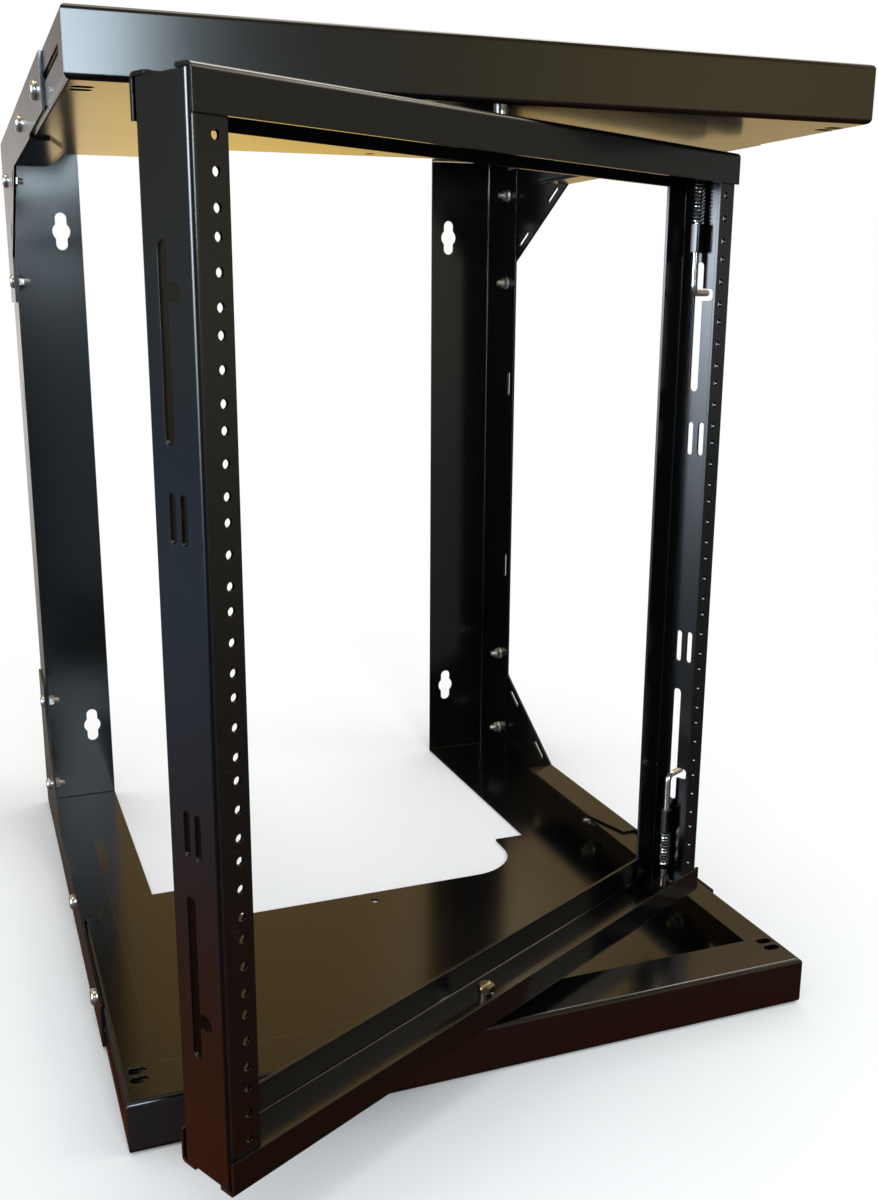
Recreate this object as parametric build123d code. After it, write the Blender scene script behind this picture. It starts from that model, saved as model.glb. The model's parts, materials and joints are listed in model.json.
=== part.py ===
from build123d import *
import math
import os

os.makedirs("parts", exist_ok=True)

# Driving dimensions, all in mm. X is the width, -Y faces the room, Y = 0 is the wall plane.
SHEET = 2.0              # steel sheet of every folded piece
BEND = 1.2               # inside bend radius
JOINT_GAP = 0.4          # open seam between sheets that meet edge to edge
RACK_OPEN = 450.0        # clear width between the rack flanges
HOLE_INSET = 7.55        # rack flange's inner edge to its hole line
HOLE_D = 4.8             # rack hole
UNITS = 12               # rack units of the swing frame
UNIT = 44.45             # one rack unit
HOLE_DROPS = (6.35, 22.225, 38.1)  # holes of one unit, from its top
RACK_FLANGE = 21.5       # width of a rack flange
SIDE_ROOM = 5.5          # swing frame's side to the fixed frame's outside
FRAME_D = 600.0          # wall plane to the front lip
LIP_H = 36.0             # height of the tray lips and side walls
STRIP_D = 38.0           # depth of the in-turned front strip
SIDE_FLANGE = 25.0       # width of the in-turned side flanges
SIDE_FLANGE_START = 180.0  # distance of the side flanges' rear end from the wall
POST_BACK = 68.0         # width of the wall flange of a post, and of the tray arms
POST_SIDE = 72.0         # depth of the side flange of a post
ARM_L = 258.0            # length of the tray arms beside the rear cut-out
LEDGE = 30.0             # ledge between an arm and the deeper recess
SIDE_STRIP = 30.0        # width of the upper plate's strips beside its cut-out
RECESS_D = 65.0          # depth of the recess beyond the arms
RECESS_R = 48.0          # corner radius of the recess
TRAY_HOLE_D = 7.0        # small hole in front of the recess
TRAY_HOLE_INSET = 15.0   # that hole's distance from the recess
KEY_INSET = 48.8         # keyholes to the frame's side, so that they lie 16 inch apart
KEY_END = 80.0           # keyholes to the nearest tray's outer face
KEY_D = 17.0             # middle bore of a keyhole
KEY_SLOT_W = 11.0        # width of the narrow ends of a keyhole
KEY_L = 35.0             # height of a keyhole
TIE_SLOT_L = 26.0        # tie slots in the post side flanges
TIE_SLOT_W = 5.0
TIE_INSET = 11.0         # tie slots to the flange's front edge
TIE_PITCH = 200.0
GUSSET_H = 147.0         # height of a corner plate over the tray's outer face
GUSSET_FOOT = 2.0        # tray's outer face to the corner plate's lower edge
GUSSET_LEG_H = 107.0     # height at which the diagonal edge starts
GUSSET_LEG_Y = 67.0      # distance of the leg's front edge from the wall
GUSSET_FLANGE_END = 355.0  # front end of the corner plate's flange
GUSSET_FLANGE_RELIEF = 12.0  # plate stands this much past the flange's front end
GUSSET_TAPER = 48.0      # length of the flange's taper
GUSSET_END = 480.0       # front end of the corner plate
GUSSET_SLOT_L = 24.0     # slots along the corner plate's diagonal edge
GUSSET_SLOT_W = 4.5
GUSSET_SLOT_EDGE = 9.0
GUSSET_SLOT_SHARES = (0.22, 0.78)  # their places along the edge
BOLT_D = 6.0             # M6 bolts of the corner plates
BOLT_L = 14.0
BOLT_HEAD_R = 5.6
BOLT_HEAD_H = 3.2
BOLT_HEAD_CHAMFER = 1.4
NUT_R = 5.6              # over the corners of the hex
NUT_H = 5.0
NUT_FIT = 0.2            # thread's stand-in gap, over the diameter
BOLT_Y = 52.0            # bolts in the posts, distance from the wall
BOLT_Z = (39.0, 128.0)   # bolts in the posts, height over the tray's outer face
TRAY_BOLT_Y = (280.0, 438.0)  # bolts in the tray walls, distance from the wall
SIDE_SLOT_L = 98.0       # long slot in each tray wall
SIDE_SLOT_W = 6.0
SIDE_SLOT_INSET = 70.0   # middle of that slot, distance from the front
RAIL_DEPTH = 42.0        # depth of the swing frame's rails
RAIL_BACK = 25.0         # width of their rear flanges
END_BAND = 23.3          # top and bottom of the swing frame to the nearest rack unit
CHANNEL_LIP = 21.5       # height of the channel lips
CHANNEL_STRIP = 12.0     # depth of the web strips that stay beside the end notches
CHANNEL_NOTCH = 24.0     # length of the notches in the channel ends
LIP_GAP = 0.3            # rail flange to channel lip
WELD_GAP = 0.5           # rail end to channel web
GATE_GAP = 7.0           # gap between the swing frame and each tray
SWING = 26.87            # swing of the frame in the photo, degrees from closed
PIVOT_INSET = 20.5       # pivot to the front
PIVOT_V = 22.0           # pivot distance behind the rack flange face
PIVOT_D = 8.0            # pivot screw
PIVOT_HEAD_R = 6.2       # over the corners of its hex head
PIVOT_HEAD_H = 4.5
PIVOT_SLOT_W = 1.6
PIVOT_SLOT_H = 1.5
PIVOT_TAIL = 10.0        # reach of the screw past the tray strip
COLLAR_R = 5.5           # collar under the screw's head
COLLAR_H = 6.0
SPACER_R = 9.0
PIN_INSET = 9.0          # latch pin to the swing frame's side
PIN_D = 5.0              # latch pin
PIN_FIT = 0.5            # clearance round pins and screws, each side
PIN_V = 3.0              # latch pin distance behind the pivot
PIN_TIP = 0.8            # reach of the drawn pin past the frame's end
PIN_HANDLE = 10.0        # reach of the bent handle past the rail
PIN_BEND_Z = 97.6        # height of the bend from the frame's end
CORNER_SLOT_L = 12.5     # slots in the front strip that take the pins
CORNER_SLOT_PITCH = 10.0
LATCH_SLOT_Z = (75.0, 171.0)  # long slot in the rail web, from the frame's end
LATCH_SLOT_W = 7.0
NOTCH_Z = (94.5, 103.5)  # side notch of that slot, from the frame's end
NOTCH_DEPTH = 9.5
PAIR_Z = (194.0, 219.5)  # pair of short slots, from the frame's end
PAIR_W = 4.8
PAIR_PITCH = 9.2
PAIR_V = -0.8            # middle of the pair, distance behind the pivot
GUIDE_Z = (48.0, 68.5)   # pin guide, from the frame's end
GUIDE_W = 11.0
PIN_COLLAR_Z = 17.5      # pin collar, from the frame's end
PIN_COLLAR_H = 1.6
SPRING_WIRE = 1.1
SPRING_D = 7.8
SPRING_TURNS = 11

# Derived sizes.
HOLE_LINES = RACK_OPEN + 2 * HOLE_INSET
GATE_W = RACK_OPEN + 2 * RACK_FLANGE
GATE_H = UNITS * UNIT + 2 * END_BAND
FRAME_W = GATE_W + 2 * SIDE_ROOM
FRAME_H = GATE_H + 2 * (GATE_GAP + LIP_H)
MID_Z = FRAME_H / 2
GATE_Z0 = LIP_H + GATE_GAP
PIVOT_Y = FRAME_D - PIVOT_INSET
RECESS_Y = ARM_L + RECESS_D
PIN_U = GATE_W / 2 - PIN_INSET
THROUGH = 3 * SHEET      # depth of a cut that goes through one sheet
HOLE_FIT = BOLT_D + 2 * PIN_FIT
SLOT_FIT_W = PIN_D + 4 * PIN_FIT


def box(x0, x1, y0, y1, z0, z1):
    """Plain block between two corners."""
    return Pos((x0 + x1) / 2, (y0 + y1) / 2, (z0 + z1) / 2) * Box(x1 - x0, y1 - y0, z1 - z0)


def flip(shape):
    """Turn a lower piece into the upper one."""
    return mirror(shape, Plane((0, 0, MID_Z), z_dir=(0, 0, 1)))


def other_side(shape):
    """Turn a right piece into the left one."""
    return mirror(shape, Plane.YZ)


def cut_along(axis, length, width, depth, where):
    """Slot tool: long way and depth way as two letters, e.g. 'zx'."""
    planes = {
        "zx": Plane(where, x_dir=(0, 0, 1), z_dir=(1, 0, 0)),
        "yx": Plane(where, x_dir=(0, 1, 0), z_dir=(1, 0, 0)),
        "xz": Plane(where, x_dir=(1, 0, 0), z_dir=(0, 0, 1)),
        "zy": Plane(where, x_dir=(0, 0, 1), z_dir=(0, 1, 0)),
    }
    return extrude(planes[axis] * SlotOverall(length, width), depth / 2, both=True)


def bore(axis, diameter, depth, where):
    """Round cutting tool along one axis."""
    turn = {"x": Rot(0, 90, 0), "y": Rot(90, 0, 0), "z": Rot(0, 0, 0)}[axis]
    return Pos(*where) * turn * Cylinder(diameter / 2, depth)


def sheet_profile(points, plane):
    """Folded sheet outline; the material lies to the left of the path of outer points."""
    ways = []
    for (ax, ay), (bx, by) in zip(points, points[1:]):
        run = math.hypot(bx - ax, by - ay)
        ways.append(((bx - ax) / run, (by - ay) / run))
    inner = []
    for i, (px, py) in enumerate(points):
        before = ways[max(i - 1, 0)]
        after = ways[min(i, len(ways) - 1)]
        nx, ny = -before[1] - after[1], before[0] + after[0]
        scale = SHEET * 2 / (nx * nx + ny * ny)
        inner.append((px + nx * scale, py + ny * scale))
    ring = list(points) + inner[::-1]
    face = make_face(Polyline(*ring, close=True))
    count = len(points)
    turns = []
    for i in range(1, count - 1):
        cross = ways[i - 1][0] * ways[i][1] - ways[i - 1][1] * ways[i][0]
        turns.append((points[i], BEND + SHEET if cross > 0 else BEND))
        turns.append((inner[i], BEND if cross > 0 else BEND + SHEET))
    for spot, radius in turns:
        near = face.vertices().sort_by_distance(Vector(*spot, 0))[0]
        face = fillet(near, radius)
    return plane * face


def tray(upper):
    """Tray in the lower place. The upper one has its plate on the swing frame's side.

    Both are folded pans: a plate with a cable cut-out, a lip and side walls, and a rim of in-turned
    flanges. Both have arms on the outer level that carry the wall posts.
    """
    half = FRAME_W / 2
    arm = half - POST_BACK
    seam_y = -FRAME_D + STRIP_D
    outer_level = (-1, SHEET + 1)
    inner_level = (LIP_H - 2 * SHEET, LIP_H + 1)
    body = box(-half, half, -FRAME_D, 0, 0, LIP_H)
    fold_edges = body.edges().filter_by(Axis.X).group_by(Axis.Y)[0]
    fold_edges += body.edges().filter_by(Axis.Y)
    body = fillet(fold_edges, BEND + SHEET)
    body -= box(-half + SHEET, half - SHEET, -FRAME_D + SHEET, 1, SHEET, LIP_H - SHEET)
    body -= box(-half - 1, half + 1, -SIDE_FLANGE_START, 1, LIP_H - SHEET, LIP_H + 1)
    body -= box(-half - 1, half + 1, -POST_SIDE - JOINT_GAP, 1, SHEET, LIP_H + 1)
    body -= box(-arm, arm, -ARM_L, 1, *outer_level)
    if upper:
        plate, rim, rim_end = inner_level, outer_level, -ARM_L
        body -= box(-half + SIDE_STRIP, half - SIDE_STRIP, -ARM_L, 1, *plate)
    else:
        plate, rim, rim_end = outer_level, inner_level, 1
    recess = box(-arm + LEDGE, arm - LEDGE, -RECESS_Y, 0, *plate)
    corners = recess.edges().filter_by(Axis.Z).group_by(Axis.Y)[0]
    body -= fillet(corners, RECESS_R)
    body -= box(-half + SIDE_FLANGE, half - SIDE_FLANGE, seam_y, rim_end, *rim)
    for side in (-1, 1):
        edge = side * (half - SHEET - BEND)
        inner = side * (half - SIDE_FLANGE - 1)
        body -= box(min(edge, inner), max(edge, inner), seam_y, seam_y + JOINT_GAP, *rim)
        x = side * (PIN_U - PIN_D / 2 - PIN_FIT + CORNER_SLOT_L / 2)
        for row in (0, CORNER_SLOT_PITCH):
            body -= cut_along("xz", CORNER_SLOT_L, SLOT_FIT_W, THROUGH,
                              (x, -PIVOT_Y + PIN_V - PIN_FIT + row, LIP_H - SHEET / 2))
        wall_x = side * (half - SHEET / 2)
        body -= cut_along("yx", SIDE_SLOT_L, SIDE_SLOT_W, THROUGH,
                          (wall_x, -FRAME_D + SIDE_SLOT_INSET, LIP_H / 2))
        for y in TRAY_BOLT_Y:
            body -= bore("x", HOLE_FIT, THROUGH, (wall_x, -y, LIP_H / 2))
    body -= bore("z", PIVOT_D + 2 * PIN_FIT, THROUGH, (0, -PIVOT_Y, LIP_H - SHEET / 2))
    body -= bore("z", TRAY_HOLE_D, THROUGH, (0, -RECESS_Y - TRAY_HOLE_INSET, sum(plate) / 2))
    return body


def wall_post():
    """Right post: an angle with a wall flange and a side flange."""
    half = FRAME_W / 2
    path = [(half - POST_BACK, 0), (half, 0), (half, -POST_SIDE)]
    face = sheet_profile([(x, y) for x, y in path[::-1]], Plane.XY)
    post = Pos(0, 0, SHEET + JOINT_GAP) * extrude(face, FRAME_H - 2 * (SHEET + JOINT_GAP))
    for z in (-1, 1):
        where = (half - KEY_INSET, -SHEET / 2, MID_Z + z * (MID_Z - KEY_END))
        post -= cut_along("zy", KEY_L, KEY_SLOT_W, THROUGH, where)
        post -= bore("y", KEY_D, THROUGH, where)
        post -= cut_along("zx", TIE_SLOT_L, TIE_SLOT_W, THROUGH,
                          (half - SHEET / 2, -POST_SIDE + TIE_INSET, MID_Z + z * TIE_PITCH / 2))
        for height in BOLT_Z:
            spot = MID_Z + z * (MID_Z - height)
            post -= bore("x", HOLE_FIT, THROUGH, (half - SHEET / 2, -BOLT_Y, spot))
    return post


def gusset():
    """Lower right corner plate: bolted outside the post and the tray wall, folded in over the tray."""
    half = FRAME_W / 2
    top = LIP_H + SHEET
    flange_in = half - SIDE_FLANGE
    tab_y = -GUSSET_FLANGE_END - GUSSET_FLANGE_RELIEF
    outline = [(0, GUSSET_FOOT), (-GUSSET_END, GUSSET_FOOT), (-GUSSET_END, LIP_H - JOINT_GAP),
               (tab_y, LIP_H - JOINT_GAP), (tab_y, top), (-SIDE_FLANGE_START, top),
               (-GUSSET_LEG_Y, GUSSET_LEG_H), (-GUSSET_LEG_Y, GUSSET_H), (0, GUSSET_H)]
    side = Plane((half, 0, 0), x_dir=(0, 1, 0), z_dir=(1, 0, 0))
    plate = extrude(side * make_face(Polyline(*outline, close=True)), SHEET)
    flange = box(flange_in, half + SHEET, -GUSSET_FLANGE_END, -SIDE_FLANGE_START, LIP_H, top)
    taper = [(flange_in - 1, -GUSSET_FLANGE_END + GUSSET_TAPER),
             (flange_in - 1, -GUSSET_FLANGE_END - 1),
             (half - SIDE_FLANGE / 2, -GUSSET_FLANGE_END - 1)]
    flange -= Pos(0, 0, LIP_H - 1) * extrude(make_face(Polyline(*taper, close=True)), THROUGH)
    body = plate + flange
    run = math.hypot(SIDE_FLANGE_START - GUSSET_LEG_Y, GUSSET_LEG_H - top)
    way = ((GUSSET_LEG_Y - SIDE_FLANGE_START) / run, (top - GUSSET_LEG_H) / run)
    for share in GUSSET_SLOT_SHARES:
        y = -GUSSET_LEG_Y + way[0] * run * share - way[1] * GUSSET_SLOT_EDGE
        z = GUSSET_LEG_H + way[1] * run * share + way[0] * GUSSET_SLOT_EDGE
        tool = Plane((half + SHEET / 2, y, z), x_dir=(0, way[0], way[1]), z_dir=(1, 0, 0))
        body -= extrude(tool * SlotOverall(GUSSET_SLOT_L, GUSSET_SLOT_W), THROUGH, both=True)
    for y, z in bolt_spots():
        body -= bore("x", HOLE_FIT, THROUGH, (half + SHEET / 2, y, z))
    return body


def bolt_spots():
    """Bolt middles of the lower right corner plate, as (y, z)."""
    return [(-BOLT_Y, z) for z in BOLT_Z] + [(-y, LIP_H / 2) for y in TRAY_BOLT_Y]


def bolts():
    """Button head bolts of the lower right corner, heads outside."""
    outer = FRAME_W / 2 + SHEET
    solids = []
    for y, z in bolt_spots():
        turn = Rot(0, 90, 0)
        head = Pos(outer + BOLT_HEAD_H / 2, y, z) * turn * Cylinder(BOLT_HEAD_R, BOLT_HEAD_H)
        head = chamfer(head.edges().group_by(Axis.X)[-1], BOLT_HEAD_CHAMFER)
        shank = Pos(outer - BOLT_L / 2, y, z) * turn * Cylinder(BOLT_D / 2, BOLT_L)
        solids.append(head + shank)
    return solids


def nuts():
    """Hex nuts of the lower right corner, inside the sheets."""
    inner = FRAME_W / 2 - SHEET
    solids = []
    for y, z in bolt_spots():
        face = Plane((inner, y, z), x_dir=(0, 1, 0), z_dir=(-1, 0, 0))
        nut = extrude(face * RegularPolygon(NUT_R, 6), NUT_H)
        solids.append(nut - bore("x", BOLT_D + NUT_FIT, 4 * NUT_H, (inner, y, z)))
    return solids


def place_gate(shape):
    """Move a piece from the closed frame, pivot at the origin, to its place in the photo."""
    return Pos(0, -PIVOT_Y, 0) * Rot(0, 0, SWING) * shape


def rail():
    """Right rail of the swing frame: rack flange, web and rear flange."""
    half = GATE_W / 2
    front = -PIVOT_V
    path = [(RACK_OPEN / 2, front), (half, front), (half, front + RAIL_DEPTH),
            (half - RAIL_BACK, front + RAIL_DEPTH)]
    face = sheet_profile(path, Plane.XY)
    end_gap = SHEET + WELD_GAP
    body = Pos(0, 0, GATE_Z0 + end_gap) * extrude(face, GATE_H - 2 * end_gap)
    web_x = half - SHEET / 2
    for end in (-1, 1):

        def level(span):
            return MID_Z + end * (GATE_H / 2 - sum(span) / 2)
        body -= cut_along("zx", LATCH_SLOT_Z[1] - LATCH_SLOT_Z[0], LATCH_SLOT_W, THROUGH,
                          (web_x, PIN_V, level(LATCH_SLOT_Z)))
        body -= cut_along("yx", NOTCH_DEPTH + LATCH_SLOT_W, NOTCH_Z[1] - NOTCH_Z[0], THROUGH,
                          (web_x, PIN_V - NOTCH_DEPTH / 2, level(NOTCH_Z)))
        for side in (-0.5, 0.5):
            body -= cut_along("zx", PAIR_Z[1] - PAIR_Z[0], PAIR_W, THROUGH,
                              (web_x, PAIR_V + side * PAIR_PITCH, level(PAIR_Z)))
    top = MID_Z + UNITS * UNIT / 2
    for unit in range(UNITS):
        for drop in HOLE_DROPS:
            body -= bore("y", HOLE_D, THROUGH,
                         (HOLE_LINES / 2, front + SHEET / 2, top - unit * UNIT - drop))
    return body


def cross_channel():
    """Lower channel of the swing frame: its lips hold the rail ends, its web is notched there."""
    half = GATE_W / 2
    front = -PIVOT_V - LIP_GAP - SHEET
    back = -PIVOT_V + RAIL_DEPTH + LIP_GAP + SHEET
    path = [(front, GATE_Z0 + CHANNEL_LIP), (front, GATE_Z0), (back, GATE_Z0),
            (back, GATE_Z0 + CHANNEL_LIP)]
    side = Plane((0, 0, 0), x_dir=(0, 1, 0), z_dir=(1, 0, 0))
    body = extrude(sheet_profile(path, side), half, both=True)
    for x in (-half, half):
        body -= box(x - CHANNEL_NOTCH, x + CHANNEL_NOTCH, front + CHANNEL_STRIP,
                    back - CHANNEL_STRIP, GATE_Z0 - 1, GATE_Z0 + SHEET + 1)
    return body - bore("z", PIVOT_D + NUT_FIT, THROUGH, (0, 0, GATE_Z0 + SHEET / 2))


def pivot_screw():
    """Lower pivot screw with its collar and slotted hex head, standing in the tray's strip."""
    tail_z = LIP_H - PIVOT_TAIL
    collar_z = GATE_Z0 + SHEET
    head_z = collar_z + COLLAR_H
    top = head_z + PIVOT_HEAD_H
    screw = Pos(0, 0, (tail_z + head_z) / 2) * Cylinder(PIVOT_D / 2, head_z - tail_z)
    collar = Pos(0, 0, collar_z + COLLAR_H / 2) * Cylinder(COLLAR_R, COLLAR_H)
    head = Pos(0, 0, head_z) * extrude(RegularPolygon(PIVOT_HEAD_R, 6), PIVOT_HEAD_H)
    head -= Pos(0, 0, top) * Box(3 * PIVOT_HEAD_R, PIVOT_SLOT_W, 2 * PIVOT_SLOT_H)
    return screw + collar + head


def pivot_spacer():
    """Washer stack that carries the swing frame over the tray's strip."""
    z0, z1 = LIP_H + PIN_FIT, GATE_Z0
    ring = Cylinder(SPACER_R, z1 - z0) - Cylinder((PIVOT_D + NUT_FIT) / 2, 2 * SPACER_R)
    return Pos(0, 0, (z0 + z1) / 2) * ring


def latch_pin():
    """Lower latch pin, drawn back as in the photo, with its bent handle and collar."""
    tip = GATE_Z0 - PIN_TIP
    bend = GATE_Z0 + PIN_BEND_Z
    reach = GATE_W / 2 + PIN_HANDLE
    path = FilletPolyline((PIN_U, PIN_V, tip), (PIN_U, PIN_V, bend), (reach, PIN_V, bend),
                          radius=PIN_D)
    body = sweep(Plane((PIN_U, PIN_V, tip)) * Circle(PIN_D / 2), path=path)
    ring = Cylinder(SPRING_D / 2, PIN_COLLAR_H)
    return body + Pos(PIN_U, PIN_V, GATE_Z0 + PIN_COLLAR_Z) * ring


def spring():
    """Coil spring of the lower pin between its collar and its guide."""
    slack = SPRING_WIRE / 2 + PIN_FIT / 5
    z0 = GATE_Z0 + PIN_COLLAR_Z + PIN_COLLAR_H / 2 + slack
    z1 = GATE_Z0 + GUIDE_Z[0] - slack
    radius = (SPRING_D - SPRING_WIRE) / 2
    path = Helix((z1 - z0) / SPRING_TURNS, z1 - z0, radius)
    start = Plane(path @ 0, z_dir=path % 0)
    return Pos(PIN_U, PIN_V, z0) * sweep(start * RegularPolygon(SPRING_WIRE / 2, 6), path=path)


def pin_guide():
    """Guide block of the lower pin, fixed on the inside of the rail web."""
    z0, z1 = GATE_Z0 + GUIDE_Z[0], GATE_Z0 + GUIDE_Z[1]
    block = box(PIN_U - GUIDE_W / 2, GATE_W / 2 - SHEET, PIN_V - GUIDE_W / 2,
                PIN_V + GUIDE_W / 2, z0, z1)
    return block - bore("z", PIN_D + 2 * PIN_FIT, 2 * (z1 - z0), (PIN_U, PIN_V, (z0 + z1) / 2))


def save(name, *shapes):
    """Write one node as a STEP file."""
    solids = [solid for shape in shapes for solid in shape.solids()]
    whole = solids[0] if len(solids) == 1 else Compound(children=solids)
    export_step(whole, "parts/" + name + ".step")


save("bottom_tray", tray(upper=False))
save("top_tray", flip(tray(upper=True)))
post = wall_post()
save("right_wall_post", post)
save("left_wall_post", other_side(post))
corner = gusset()
corner_bolts = bolts()
corner_nuts = nuts()
for height, up in (("bottom", False), ("top", True)):
    for hand, left in (("right", False), ("left", True)):
        pieces = [[corner], corner_bolts, corner_nuts]
        if up:
            pieces = [[flip(item) for item in group] for group in pieces]
        if left:
            pieces = [[other_side(item) for item in group] for group in pieces]
        save(height + "_" + hand + "_gusset", *pieces[0])
        save(height + "_" + hand + "_bolts", *pieces[1])
        save(height + "_" + hand + "_nuts", *pieces[2])

right_rail = rail()
save("right_rack_rail", place_gate(right_rail))
save("left_rack_rail", place_gate(other_side(right_rail)))
channel = cross_channel()
save("gate_bottom_channel", place_gate(channel))
save("gate_top_channel", place_gate(flip(channel)))
screw = pivot_screw()
save("bottom_pivot_screw", place_gate(screw))
save("top_pivot_screw", place_gate(flip(screw)))
save("pivot_spacer", place_gate(pivot_spacer()))
for name, turn in (("lower", lambda item: item), ("upper", flip)):
    save(name + "_latch_pin", place_gate(turn(latch_pin())))
    save(name + "_pin_spring", place_gate(turn(spring())))
    save(name + "_pin_guide", place_gate(turn(pin_guide())))
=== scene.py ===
"""Looks of a wall mounted swing-out rack: black sheet steel, zinc bolts, sprung pins."""

import json
import logging
import math
from dataclasses import dataclass, field
from enum import Enum

import bmesh
import bpy
from mathutils import Matrix, Vector


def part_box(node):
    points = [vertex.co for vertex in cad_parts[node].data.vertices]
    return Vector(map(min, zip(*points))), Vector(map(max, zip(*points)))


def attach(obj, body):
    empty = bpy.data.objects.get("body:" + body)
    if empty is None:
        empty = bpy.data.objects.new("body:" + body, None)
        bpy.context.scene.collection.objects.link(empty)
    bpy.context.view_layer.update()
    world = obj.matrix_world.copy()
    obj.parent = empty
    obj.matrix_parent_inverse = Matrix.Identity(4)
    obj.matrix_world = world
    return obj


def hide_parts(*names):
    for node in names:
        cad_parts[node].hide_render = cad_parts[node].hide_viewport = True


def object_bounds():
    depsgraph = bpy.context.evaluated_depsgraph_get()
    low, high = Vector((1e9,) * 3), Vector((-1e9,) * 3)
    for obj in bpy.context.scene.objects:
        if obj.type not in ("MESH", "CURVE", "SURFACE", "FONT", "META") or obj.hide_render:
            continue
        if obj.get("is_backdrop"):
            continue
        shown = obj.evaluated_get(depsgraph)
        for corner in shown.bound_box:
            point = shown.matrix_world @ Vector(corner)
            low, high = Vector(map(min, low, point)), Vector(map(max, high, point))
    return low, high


log = logging.getLogger("rack")

# Lengths in metres: the sheet's thickness, and how close corners count as one
MM = 0.001
SHEET = 2.0 * MM
WELD = 1e-7
NEAR = 1e-6

HEX_SIDES = 6
HEX_TURN = 2 * math.pi / HEX_SIDES
Vec3 = tuple[float, float, float]
Corners = list[bmesh.types.BMVert]


class Side(Enum):
    """Left and right half of the rack, as seen from the room."""

    LEFT = -1
    RIGHT = 1


class Height(Enum):
    """Lower and upper half of the rack."""

    BOTTOM = -1
    TOP = 1


# Small helpers


def new_object(name: str, data: bpy.types.ID) -> bpy.types.Object:
    """Make an object at the origin and link it to the scene.

    Args:
        name: name of the object.
        data: its mesh, lamp or camera.

    Returns:
        The new object.
    """
    obj = bpy.data.objects.new(name, data)
    bpy.context.scene.collection.objects.link(obj)
    return obj


def mesh_object(name: str, bm: bmesh.types.BMesh, material: bpy.types.Material,
                smooth_angle: float = 35.0) -> bpy.types.Object:
    """Turn a bmesh into an object at the origin.

    Args:
        name: name of the new piece.
        bm: the geometry in metres; it is freed.
        material: finish of every face.
        smooth_angle: edges sharper than this many degrees stay sharp.

    Returns:
        The new object, linked to the scene.
    """
    bmesh.ops.remove_doubles(bm, verts=bm.verts, dist=WELD)
    bmesh.ops.recalc_face_normals(bm, faces=bm.faces)
    limit = math.radians(smooth_angle)
    for face in bm.faces:
        face.smooth = True
    for edge in bm.edges:
        if len(edge.link_faces) == 2 and edge.calc_face_angle(0.0) > limit:
            edge.smooth = False
    mesh = bpy.data.meshes.new(name)
    bm.to_mesh(mesh)
    bm.free()
    mesh.materials.append(material)
    return new_object(name, mesh)


def polygon(bm: bmesh.types.BMesh, radius: float, height: float, sides: int) -> Corners:
    """Add the corners of a regular polygon round the local Z axis.

    Args:
        bm: geometry to add to.
        radius: distance of the corners from the axis, in metres.
        height: level of the corners, in metres.
        sides: how many corners there are.

    Returns:
        The corners, the first one on the X axis.
    """
    angles = [2 * math.pi * step / sides for step in range(sides)]
    return [bm.verts.new((radius * math.cos(angle), radius * math.sin(angle), height))
            for angle in angles]


def wall(bm: bmesh.types.BMesh, low: Corners, high: Corners) -> None:
    """Join two rings of corners with faces.

    Args:
        bm: geometry that holds the rings.
        low: first ring.
        high: second ring, of as many corners; either may be a single corner.
    """
    count = max(len(low), len(high))
    for step in range(count):
        after = (step + 1) % count
        quad = [low[step % len(low)], low[after % len(low)],
                high[after % len(high)], high[step % len(high)]]
        bm.faces.new(list(dict.fromkeys(quad)))


def lathe(bm: bmesh.types.BMesh, profile: list[tuple[float, float]],
          segments: int) -> None:
    """Turn an outline of (radius, height) pairs about the local Z axis.

    Args:
        bm: geometry to add to.
        profile: the outline in metres; an end on the axis closes the form there.
        segments: sides of the turned form.
    """
    rings = [polygon(bm, radius, height, segments if radius > 0.0 else 1)
             for radius, height in profile]
    for low, high in zip(rings, rings[1:]):
        wall(bm, low, high)


def islands(obj: bpy.types.Object) -> list[tuple[Vector, Vector]]:
    """Boxes of the separate solids in a CAD node.

    Args:
        obj: the node's object; its mesh is only read.

    Returns:
        Lowest and highest corner of each solid.
    """
    bm = bmesh.new()
    bm.from_mesh(obj.data)
    bmesh.ops.remove_doubles(bm, verts=bm.verts, dist=NEAR)
    seen: set[int] = set()
    boxes = []
    bm.verts.ensure_lookup_table()
    for start in bm.verts:
        if start.index in seen:
            continue
        stack, spots = [start], []
        seen.add(start.index)
        while stack:
            vert = stack.pop()
            spots.append(vert.co.copy())
            for edge in vert.link_edges:
                other = edge.other_vert(vert)
                if other.index not in seen:
                    seen.add(other.index)
                    stack.append(other)
        low = Vector([min(p[i] for p in spots) for i in range(3)])
        high = Vector([max(p[i] for p in spots) for i in range(3)])
        boxes.append((low, high))
    bm.free()
    return boxes


# Finishes


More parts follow.
